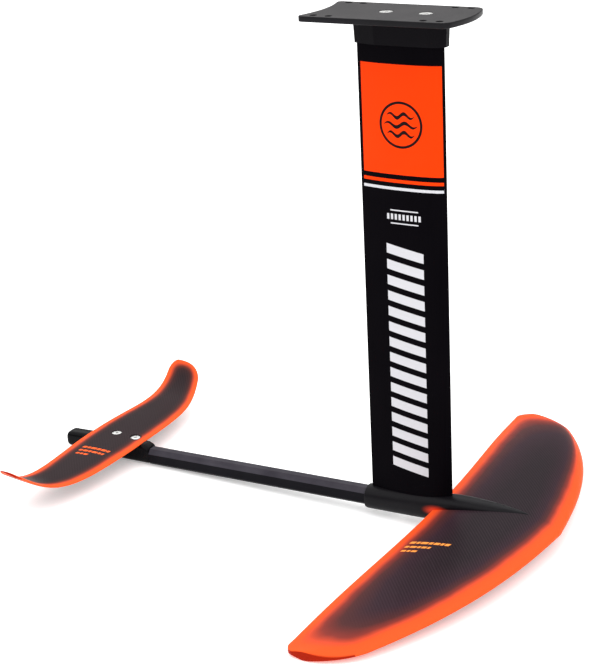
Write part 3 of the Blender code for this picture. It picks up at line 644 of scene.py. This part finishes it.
def mast_half(x):
    """Half the mast's thickness at x."""
    t = min(max((MAST_CHORD / 2 - x) / MAST_CHORD, 0.0), 1.0)
    if t < MAST_FULLEST:
        return MAST_HALF * math.sqrt(1 - ((MAST_FULLEST - t) / MAST_FULLEST) ** 2)
    back = ((t - MAST_FULLEST) / (1 - MAST_FULLEST)) ** MAST_TAPER_POWER
    return MAST_HALF - (MAST_HALF - MAST_TAIL_HALF) * back


def mast_section(grow=0.0, steps=44):
    """The mast's outline as (x, y): tail, port side to the nose, and back down the other side."""
    half = MAST_CHORD / 2
    port = []
    for i in range(steps + 1):
        x = -half * math.cos(math.pi * i / steps)
        port.append((x * (1 + grow / half), mast_half(x) + (grow if i < steps else 0)))
    return port + [(x, -y) for x, y in reversed(port[:-1])]


def make_mast():
    rings = [[Vector((x, y, z)) for x, y in mast_section()] for z in (MAST_FOOT_Z, MAST_TOP_Z)]
    bm = loft(rings)
    piece("mast_blade", bm, MAST_BLACK, ["mast"], 40)


def panel(x_low, x_high, z_low, z_high):
    """An upright rectangle as (x, z) corners."""
    return [(x_low, z_low), (x_high, z_low), (x_high, z_high), (x_low, z_high)]


def print_sheet(outlines, side, step=3 * MM):
    """Flat (x, z) outlines laid on one side of the mast as a thin film of ink."""
    bm = bmesh.new()
    for outline in outlines:
        bm.faces.new([bm.verts.new((x * MM, 0, z * MM)) for x, z in outline])
    count = int(MAST_CHORD / step)
    for i in range(1, count):
        geometry = bm.verts[:] + bm.edges[:] + bm.faces[:]
        x = -MAST_CHORD / 2 + i * MAST_CHORD / count
        bmesh.ops.bisect_plane(bm, geom=geometry, dist=1e-7, plane_co=(x, 0, 0), plane_no=(1, 0, 0))
    return wrap_on_mast(bm, side)


def wrap_on_mast(bm, side, lift=0.0):
    """Press a flat print in the y = 0 plane onto the mast's side, and give it a film's thickness."""
    grown = bmesh.ops.extrude_face_region(bm, geom=bm.faces[:], use_keep_orig=True)["geom"]
    outer = {part for part in grown if isinstance(part, bmesh.types.BMVert)}
    for vert in bm.verts:
        film = PRINT_FILM + lift if vert in outer else -PRINT_FILM / 2
        vert.co.y = side * (mast_half(vert.co.x) + film)
    bmesh.ops.recalc_face_normals(bm, faces=bm.faces)
    return bm


def join(bodies):
    """Several meshes as one."""
    joined = bmesh.new()
    for body in bodies:
        mesh = bpy.data.meshes.new("part")
        body.to_mesh(mesh)
        body.free()
        joined.from_mesh(mesh)
        bpy.data.meshes.remove(mesh)
    return joined


def ring_print(x, z, outer, inner, side, lift):
    """A flat ring of ink."""
    bm = bmesh.new()
    upright = Matrix.Translation((x * MM, 0, z * MM)) @ Matrix.Rotation(math.pi / 2, 4, "X")
    for radius in (outer, inner):
        bmesh.ops.create_circle(bm, segments=72, radius=radius * MM, matrix=upright)
    bmesh.ops.bridge_loops(bm, edges=bm.edges[:])
    return wrap_on_mast(bm, side, lift)


def wave_print(x, z, length, height, width, side, lift):
    """One swell of ink: a strip that follows two waves and thins out at both ends."""
    bm = bmesh.new()
    bmesh.ops.create_grid(bm, x_segments=40, y_segments=1, size=0.5)
    for vert in bm.verts:
        along, across = vert.co.x, vert.co.y
        taper = math.cos(math.pi * along) ** 0.6 if abs(along) < 0.499 else 0.05
        crest = height * math.sin(4 * math.pi * along)
        vert.co = Vector((x + length * along, 0, z + crest + across * width * taper)) * MM
    return wrap_on_mast(bm, side, lift)


def slanted_bar(z, left, right):
    """A bar across the column whose right end is lower, as (x, z) corners."""
    low = z - COLUMN_BAR
    return [(left, z), (left, low), (right, low - COLUMN_SLANT), (right, z - COLUMN_SLANT)]


def mast_column():
    """The tall pale column down the mast: plain slanted bars, one below another."""
    rows = int((COLUMN_TOP - COLUMN_BOTTOM - COLUMN_BAR - COLUMN_SLANT) / COLUMN_PITCH) + 1
    return [slanted_bar(COLUMN_TOP - i * COLUMN_PITCH, *COLUMN_X) for i in range(rows)]


def make_prints():
    ticks = [
        panel(TICK_X + TICK_PITCH * i, TICK_X + TICK_WIDTH + TICK_PITCH * i, *TICK_Z)
        for i in range(TICKS)
    ]
    lines = [panel(*line) for line in PALE_LINES]
    for name, side in SIDES:
        orange = print_sheet([panel(*corners) for corners in ORANGE_PANELS], side)
        piece(f"print_orange_{name}", orange, PRINT_ORANGE)
        pale = print_sheet(lines + ticks + mast_column(), side)
        piece(f"print_pale_{name}", pale, PRINT_WHITE)
        dark = [ring_print(BADGE_X, BADGE_Z, *BADGE_RING, side, BADGE_LIFT)]
        for z, length in BADGE_WAVES:
            dark.append(
                wave_print(BADGE_X, z, length, WAVE_HEIGHT, WAVE_WIDTH, side, BADGE_LIFT)
            )
        piece(f"print_badge_{name}", join(dark), PRINT_BLACK)


# ---------------------------------------------------------------- plate and collar


def plate_outline(steps=20):
    """The plate from above: front edge full, rear edge hollow. The arcs' end steps are long, so
    that the corners between them can be rounded."""
    inner = [PLATE_ARC_SHARE * (1 - 2 * i / steps) for i in range(steps + 1)]
    points = []
    for end, turn in ((PLATE_FRONT_X, -1), (PLATE_REAR_X, 1)):
        for share in [1, *inner, -1]:
            along = turn * share
            points.append((end + PLATE_ARC_DEPTH * (1 - along ** 2), along * PLATE_HALF_WIDTH))
    return points


def make_plate():
    low = PLATE_TOP_Z - PLATE_THICKNESS
    bm = slab(plate_outline(), low, PLATE_TOP_Z)
    corners = [
        edge for edge in bm.edges
        if abs(edge.verts[0].co.z - edge.verts[1].co.z) > MM
        and abs(abs(edge.verts[0].co.y) - PLATE_HALF_WIDTH) < 0.1 * MM
    ]
    bmesh.ops.bevel(bm, geom=corners, offset=PLATE_CORNER, segments=10, profile=0.5,
                    affect="EDGES", material=-1)
    round_edges(bm, PLATE_EDGE_ROUND, 4, 50)
    cutters = []
    for x in BOARD_BOLT_X:
        for y in (-BOARD_BOLT_Y, BOARD_BOLT_Y):
            hole = BOARD_BOLT_HOLE / 2
            cutters.append(cone(x, y, low - MM, PLATE_TOP_Z + MM, hole, hole))
            cutters.append(cone(x, y, PLATE_TOP_Z - 0.5 * MM, PLATE_TOP_Z + 0.5 * MM, hole, hole + MM))
    head, shank = PLATE_SCREW[0] / 2 + GAP, PLATE_SCREW[1] / 2 + GAP
    for x in PLATE_SCREW_X:
        seat = PLATE_TOP_Z - HEAD_DEPTH
        cutters.append(cone(x, 0, seat, PLATE_TOP_Z + MM, head, head))
        cutters.append(cone(x, 0, seat - (head - shank), seat + 0.01 * MM, shank, head))
        cutters.append(cone(x, 0, low - MM, PLATE_TOP_Z, shank, shank))
    piece("top_plate_machined", carve(bm, cutters), PLATE_BLACK, ["top_plate"])


# ---------------------------------------------------------------- screws


def make_screw(name, node, x, seat_z, sizes, facing, length=None):
    """A countersunk screw: turned in one go, then its hexagon socket is cut."""
    head, shank, key, full = sizes[0] / 2, sizes[1] / 2, sizes[2], length or sizes[3]
    profile = (
        (0, 0), (head - 0.7 * MM, 0), (head - 0.15 * MM, 0.2 * MM), (head, 0.5 * MM),
        (shank, head - shank + 0.5 * MM), (shank, full - MM), (shank - MM, full), (0, full),
    )
    bm = bmesh.new()
    verts = [bm.verts.new((x + r, 0, seat_z - facing * (GAP + d))) for r, d in profile]
    edges = [bm.edges.new(pair) for pair in zip(verts, verts[1:])]
    bmesh.ops.spin(
        bm, geom=verts + edges, cent=(x, 0, 0), axis=(0, 0, 1), angle=2 * math.pi, steps=40,
        use_merge=True,
    )
    bmesh.ops.remove_doubles(bm, verts=bm.verts, dist=1e-6)
    bmesh.ops.recalc_face_normals(bm, faces=bm.faces)
    top = seat_z - facing * GAP
    socket = key / math.sqrt(3)
    ends = sorted((top + facing * MM, top - facing * 3 * MM))
    rim = sorted((top + facing * 0.2 * MM, top - facing * 0.5 * MM))
    radii = (socket * 0.8, socket * 1.08) if facing > 0 else (socket * 1.08, socket * 0.8)
    cutters = [cone(x, 0, *ends, socket, socket, 6), cone(x, 0, *rim, *radii, 40)]
    piece(name, carve(bm, cutters), SCREW_STEEL, [node])


# ---------------------------------------------------------------- wings


def rounded_corner(distance, radius):
    """How far a corner of that radius draws back, at a distance in from the tip."""
    if distance >= radius:
        return 0.0
    return radius - math.sqrt(max(radius ** 2 - (radius - distance) ** 2, 0.0))


def drooped(y, middle, fall, place, power):
    """Height of an edge that starts at middle and has fallen by fall at y = place."""
    return middle - fall * (y / place) ** power


def front_edges(y):
    """Leading and trailing edge of the front wing at y out from the middle, as (x, z)."""
    out = FRONT_WING["half_span"] - y
    middle, straight, curved, power = FRONT_LEAD_SWEEP
    lead = middle - straight * y - curved * y ** power - rounded_corner(out, FRONT_WING["nose_round"])
    tip, swell, half_wave = FRONT_TRAIL_SWELL
    trail = tip + swell * (1 + math.cos(math.pi * y / half_wave)) / 2
    trail += rounded_corner(out, FRONT_WING["tail_round"])
    return (lead, drooped(y, *FRONT_LEAD_DROOP)), (trail, drooped(y, *FRONT_TRAIL_DROOP))


def rear_edges(y):
    """Leading and trailing edge of the rear wing, whose tips curl up."""
    part = y / REAR_WING["half_span"]
    out = REAR_WING["half_span"] - y
    middle, sweep, power = REAR_LEAD_SWEEP
    lead = middle - sweep * part ** power - rounded_corner(out, REAR_WING["nose_round"])
    middle, forward, back = REAR_TRAIL_SWEEP
    trail = middle + forward * part ** 2 - back * part ** 6
    trail += rounded_corner(out, REAR_WING["tail_round"])
    middle, droop, curl, power = REAR_HEIGHT
    height = middle - droop * part ** 2 + curl * part ** power
    return (lead, height), (trail, height + REAR_WING_TILT)


def foil_half(t):
    """Half thickness of a unit foil, for a full thickness of one."""
    return 5 * (0.2969 * math.sqrt(t) - 0.126 * t - 0.3516 * t ** 2 + 0.2843 * t ** 3 - 0.1036 * t ** 4)


def foil_camber(t, amount, fullest):
    if t < fullest:
        return amount / fullest ** 2 * (2 * fullest * t - t ** 2)
    return amount / (1 - fullest) ** 2 * (1 - 2 * fullest + 2 * fullest * t - t ** 2)


def wing_point(wing, edges, y, t, side):
    """A point on the wing: side 1 is the top, -1 the underside, 0 the middle surface."""
    y_in = min(abs(y), wing["half_span"])
    (lead, lead_z), (trail, trail_z) = edges(y_in)
    part = y_in / wing["half_span"]
    thick = wing["tip"] + (wing["root"] - wing["tip"]) * (1 - part ** THICKNESS_TAPER_POWER)
    half = thick * foil_half(t) + wing["tail"] / 2 * t
    half -= min(rounded_corner(wing["half_span"] - y_in, TIP_EDGE_ROUND), half * 0.8)
    camber = (lead - trail) * foil_camber(t, wing["camber"], wing["fullest"])
    fill = wing["tip_fill"] * t * part ** TIP_FILL_POWER * (side + 1) / 2
    z = lead_z + (trail_z - lead_z) * t + camber + side * half + fill
    return Vector((lead - (lead - trail) * t, y, z))


def wing_ring(wing, edges, y, steps):
    """The outline at y: middle of the tail, over the top to the nose, and back underneath."""
    shares = [(1 - math.cos(math.pi * i / steps)) / 2 for i in range(steps + 1)]
    top = [wing_point(wing, edges, y, t, 1) for t in reversed(shares)]
    under = [wing_point(wing, edges, y, t, -1) for t in shares[1:]]
    return [wing_point(wing, edges, y, 1, 0)] + top + under


def wing_body(wing, edges, span_steps, ring_steps):
    steps = range(-span_steps, span_steps + 1)
    places = [wing["half_span"] * math.sin(math.pi / 2 * i / span_steps) for i in steps]
    return loft([wing_ring(wing, edges, y, ring_steps) for y in places])


def soft_reach(distance, scale):
    """Spray that fades slowly: a distance shortened more the longer it is."""
    return scale * MM * (distance / MM) ** SOFT_POWER


def slant(near, far, step):
    """How much longer a distance along x is than one square to a sloping edge."""
    return math.sqrt(1 + min(abs(near - far) / max(step, 1e-9), 3.0) ** 2)


def distance_in(wing, edges, to_tail_reach, to_tip_reach, thinning=0.0):
    """A function giving how deep in the sprayed border a point of the wing lies. The border
    thins by thinning along the nose of the port tip."""
    def inward(co):
        y = min(abs(co.y), wing["half_span"])
        near = max(y - 2 * MM, 0)
        (lead, _), (trail, _) = edges(y)
        (near_lead, _), (near_trail, _) = edges(near)
        thinner = min(1 + thinning * max(co.y / wing["half_span"], 0) ** THINNING_POWER, 3)
        to_lead = max(lead - co.x, 0) / slant(near_lead, lead, y - near) * thinner
        to_tail = to_tail_reach(max(co.x - trail, 0) / slant(near_trail, trail, y - near))
        to_tip = to_tip_reach(max(wing["half_span"] - y, 0))
        nearest = [max(d, 0.05 * MM) for d in (to_lead, to_tail, to_tip)]
        return sum(d ** -3 for d in nearest) ** (-1 / 3)
    return inward


def make_front_wing():
    body = wing_body(FRONT_WING, front_edges, 90, 40)
    holes = [cone(x, 0, -40 * MM, 40 * MM, BUSHING_HOLE, BUSHING_HOLE) for x in WING_SCREW_X]
    nodes = ["front_wing_upper_skin", "front_wing_lower_skin"]
    inward = distance_in(
        FRONT_WING, front_edges, lambda d: soft_reach(d, FRONT_TAIL_FADE),
        lambda d: soft_reach(d, FRONT_TIP_FADE), FRONT_NOSE_THINNING,
    )
    piece("front_wing_moulding", carve(body, holes), FRONT_SPRAY, nodes, 40, inward)
    keep("front_wing_core", CORE_FOAM)


def surface_z(wing, edges, x, side):
    (lead, _), (trail, _) = edges(0)
    return wing_point(wing, edges, 0, (lead - x) / (lead - trail), side).z


def make_rear_wing():
    body = wing_body(REAR_WING, rear_edges, 70, 32)
    head, shank = REAR_WING_SCREW[0] / 2 + GAP, REAR_WING_SCREW[1] / 2 + GAP
    cutters = []
    for name, x in zip(("rear", "front"), REAR_WING_SCREW_X):
        seat = surface_z(REAR_WING, rear_edges, x, 1) - REAR_SCREW_SUNK
        rim = seat - HEAD_DEPTH
        cutters.append(cone(x, 0, rim, seat + 10 * MM, head, head))
        cutters.append(cone(x, 0, rim - (head - shank), rim + 0.01 * MM, shank, head))
        cutters.append(cone(x, 0, seat - 30 * MM, seat, shank, shank))
        make_screw(f"tail_screw_{name}", f"rear_wing_screw_{name}", x, seat, REAR_WING_SCREW, 1)
    from_edge = distance_in(
        REAR_WING, rear_edges, lambda d: REAR_TAIL_SHARE * d, lambda d: REAR_TIP_SHARE * d
    )

    def inward(co):
        """Masking discs keep the spray off round the two screws."""
        near = min(math.hypot(co.x - x, co.y) for x in REAR_WING_SCREW_X)
        return REAR_REACH if near < head + MASK_MARGIN else from_edge(co)

    carved = carve(body, cutters)
    piece("rear_wing_moulding", carved, REAR_SPRAY, ["rear_wing"], 40, inward)


def mark_rows(wing, edges, rows):
    """Rows of small plain dashes printed on a wing."""
    bodies = []
    for y, height, start_x, lengths in rows:
        for low, high in dashes(start_x, lengths):
            bm = bmesh.new()
            bmesh.ops.create_grid(bm, x_segments=6, y_segments=2, size=0.5)
            for vert in bm.verts:
                across = vert.co.y
                x = low + (high - low) * (vert.co.x + 0.5) + across * height * 0.35
                vert.co = Vector((x, y + across * height, 0)) * MM
            grown = bmesh.ops.extrude_face_region(bm, geom=bm.faces[:], use_keep_orig=True)["geom"]
            outer = {part for part in grown if isinstance(part, bmesh.types.BMVert)}
            for vert in bm.verts:
                (lead, _), (trail, _) = edges(abs(vert.co.y))
                t = (lead - vert.co.x) / (lead - trail)
                film = PRINT_FILM if vert in outer else -PRINT_FILM
                vert.co.z = wing_point(wing, edges, vert.co.y, t, 1).z + film
            bmesh.ops.recalc_face_normals(bm, faces=bm.faces)
            bodies.append(bm)
    return join(bodies)


def dashes(start_x, lengths):
    """Spans along x, one after another."""
    spans = []
    for length in lengths:
        spans.append((start_x, start_x + length))
        start_x += length + DASH_SPACE
    return spans


def make_wing_marks():
    front = mark_rows(FRONT_WING, front_edges, FRONT_MARKS)
    piece("front_wing_marks", front, MARK_AMBER)
    rear = mark_rows(REAR_WING, rear_edges, REAR_MARKS)
    piece("rear_wing_marks", rear, MARK_ORANGE)


# ---------------------------------------------------------------- fuselage


def smooth_station(stations, at):
    """The section at a fractional station number, on a smooth curve through them all."""
    index = min(int(at), len(stations) - 2)
    part = at - index
    picks = [stations[min(max(index + k, 0), len(stations) - 1)] for k in (-1, 0, 1, 2)]
    values = []
    for a, b, c, d in zip(*picks):
        bend = 2 * a - 5 * b + 4 * c - d + part * (3 * (b - c) + d - a)
        curve = b + 0.5 * part * (c - a + part * bend)
        values.append(min(max(curve, min(b, c)), max(b, c)) * MM)
    return values


def round_section(x, top, bottom, half_width, roundness, steps=56):
    """A ring between an ellipse (roundness 2) and a box (higher)."""
    middle, half_height = (top + bottom) / 2, (top - bottom) / 2
    power = 2 / roundness
    ring = []
    for i in range(steps):
        angle = 2 * math.pi * i / steps
        across = math.copysign(abs(math.cos(angle)) ** power, math.cos(angle))
        up = math.copysign(abs(math.sin(angle)) ** power, math.sin(angle))
        ring.append(Vector((x, half_width * across, middle + half_height * up)))
    return ring


def smooth_loft(stations, roundness, per=5):
    """A body through round sections, with per rings to each station."""
    count = (len(stations) - 1) * per
    rings = [smooth_station(stations, i / per) for i in range(count + 1)]
    return loft([round_section(*ring, roundness) for ring in rings])


def countersink_from_below(x, seat, sizes, depth):
    """Cutters for a countersunk screw whose head faces down."""
    head, shank = sizes[0] / 2 + GAP, sizes[1] / 2 + GAP
    rim = seat + HEAD_DEPTH
    return [
        cone(x, 0, seat - 20 * MM, rim, head, head),
        cone(x, 0, rim - 0.01 * MM, rim + head - shank, head, shank),
        cone(x, 0, rim, seat + depth, shank, shank),
    ]


def make_pod():
    body = smooth_loft(POD_STATIONS, POD_ROUNDNESS)
    cutters = []
    for name, x in zip(("rear", "front"), FOOT_SCREW_X):
        cutters += countersink_from_below(x, FOOT_SCREW_SEAT, FOOT_SCREW, FOOT_HOLE_DEPTH)
        node = f"mast_foot_screw_{name}"
        make_screw(f"foot_screw_{name}", node, x, FOOT_SCREW_SEAT, FOOT_SCREW, -1)
    cutters += countersink_from_below(BOOM_LOCK_X, BOOM_LOCK_SEAT, LOCK_SCREW, LOCK_HOLE_DEPTH)
    make_screw(
        "boom_clamp_screw", "boom_lock_screw", BOOM_LOCK_X, BOOM_LOCK_SEAT, LOCK_SCREW, -1,
        BOOM_LOCK_LENGTH,
    )
    piece("fuselage_pod_cast", carve(body, cutters), POD_BLACK, ["fuselage_pod"], 38)


def make_mount():
    bm = smooth_loft(MOUNT_STATIONS, MOUNT_ROUNDNESS)
    cutters = countersink_from_below(MOUNT_LOCK_X, MOUNT_LOCK_SEAT, LOCK_SCREW, LOCK_HOLE_DEPTH)
    pocket = loft([wing_ring(REAR_WING, rear_edges, y * MM, 32) for y in WING_POCKET_Y])
    pocket.normal_update()
    for vert in pocket.verts:
        vert.co += vert.normal * POCKET_SWELL
    cutters.append(pocket)
    piece("tail_block", carve(bm, cutters), MOUNT_BLACK, ["rear_wing_mount"])
    make_screw(
        "tail_clamp_screw", "mount_lock_screw", MOUNT_LOCK_X, MOUNT_LOCK_SEAT, LOCK_SCREW, -1
    )


def pod_ridge(x):
    """Height of the pod's top at x."""
    for (rear, low, *_), (front, high, *_) in zip(POD_STATIONS, POD_STATIONS[1:]):
        if rear * MM <= x <= front * MM:
            return (low + (high - low) * (x / MM - rear) / (front - rear)) * MM
    return 0.0


def make_wing_screws():
    for name, x in zip(("rear", "middle", "front"), WING_SCREW_X):
        reach = 8 * MM
        low = max(surface_z(FRONT_WING, front_edges, x + d, -1) for d in (-reach, reach)) + GAP
        length = pod_ridge(x) - low - SCREW_COVER
        make_screw(f"wing_screw_{name}", f"front_wing_screw_{name}", x, low, WING_SCREW, -1, length)
        keep(f"front_wing_bushing_{name}", INSERT_STEEL, 0.2 * MM)


def make_kept_parts():
    keep("tail_boom", BOOM_BLACK, 0.7 * MM)
    keep("mast_collar", COLLAR_BLACK, 0.7 * MM)
    for end in ("head", "foot"):
        for place in ("front", "rear"):
            keep(f"mast_{end}_insert_{place}", INSERT_STEEL)


# ---------------------------------------------------------------- studio


FLOOR_SIZE = 40
FLOOR_GLOW = 0.3
WORLD_STRENGTH = 0.28
CEILING_HEIGHT = 6
CEILING_SIZE = 24
CEILING_POWER = 2900
CAMERA_AT = Vector((0.8309, -1.7501, 0.9456))
CAMERA_AZIMUTH = math.radians(27.13)
CAMERA_ELEVATION = math.radians(20.23)
CAMERA_ROLL = math.radians(-2.15)
CAMERA_LENS = 91.5
CAMERA_SHIFT = -0.0985
CAMERA_SENSOR = 36


def make_floor():
    """Plain white floor."""
    bm = bmesh.new()
    bmesh.ops.create_grid(bm, x_segments=1, y_segments=1, size=FLOOR_SIZE / 2)
    bmesh.ops.translate(bm, verts=bm.verts, vec=(0, 0, -0.2 * MM))
    floor = as_object("floor", bm)
    material, shader = start("matt_white_floor", "F6F6F6", 0.9, Specular_IOR_Level=0.0)
    shader.inputs["Emission Color"].default_value = (1, 1, 1, 1)
    shader.inputs["Emission Strength"].default_value = FLOOR_GLOW
    floor.data.materials.append(material)


def add_light(name, at, target, size, power):
    """A large soft square lamp at a place, facing a target."""
    lamp = bpy.data.lights.new(name, "AREA")
    lamp.shape = "SQUARE"
    lamp.size = size
    lamp.energy = power
    item = bpy.data.objects.new(name, lamp)
    item.location = at
    item.rotation_euler = (Vector(target) - Vector(at)).to_track_quat("-Z", "Y").to_euler()
    bpy.context.scene.collection.objects.link(item)


def make_lights():
    world = bpy.data.worlds.new("studio")
    world.use_nodes = True
    background = world.node_tree.nodes["Background"]
    background.inputs["Color"].default_value = (1, 1, 1, 1)
    background.inputs["Strength"].default_value = WORLD_STRENGTH
    bpy.context.scene.world = world
    add_light("ceiling", (0, 0, CEILING_HEIGHT), (0, 0, 0), CEILING_SIZE, CEILING_POWER)


def make_camera():
    c, s = math.cos, math.sin
    az, el, roll = CAMERA_AZIMUTH, CAMERA_ELEVATION, CAMERA_ROLL
    forward = Vector((-s(az) * c(el), c(az) * c(el), -s(el)))
    right = Vector((c(az), s(az), 0))
    up = right.cross(forward)
    across = right * c(roll) + up * s(roll)
    above = up * c(roll) - right * s(roll)
    turn = Matrix((across, above, -forward)).transposed().to_4x4()
    lens = bpy.data.cameras.new("camera")
    lens.lens = CAMERA_LENS
    lens.sensor_width = CAMERA_SENSOR
    lens.shift_x = CAMERA_SHIFT
    camera = bpy.data.objects.new("camera", lens)
    bpy.context.scene.collection.objects.link(camera)
    camera.matrix_world = STANCE @ Matrix.Translation(CAMERA_AT) @ turn
    bpy.context.scene.camera = camera


make_mast()
make_prints()
make_plate()
for place, at in zip(("rear", "front"), PLATE_SCREW_X):
    make_screw(f"head_screw_{place}", f"plate_screw_{place}", at, PLATE_TOP_Z, PLATE_SCREW, 1)
make_pod()
make_mount()
make_kept_parts()
make_front_wing()
make_wing_screws()
make_rear_wing()
make_wing_marks()
make_floor()
make_lights()
make_camera()
bpy.context.scene.view_settings.view_transform = "Standard"
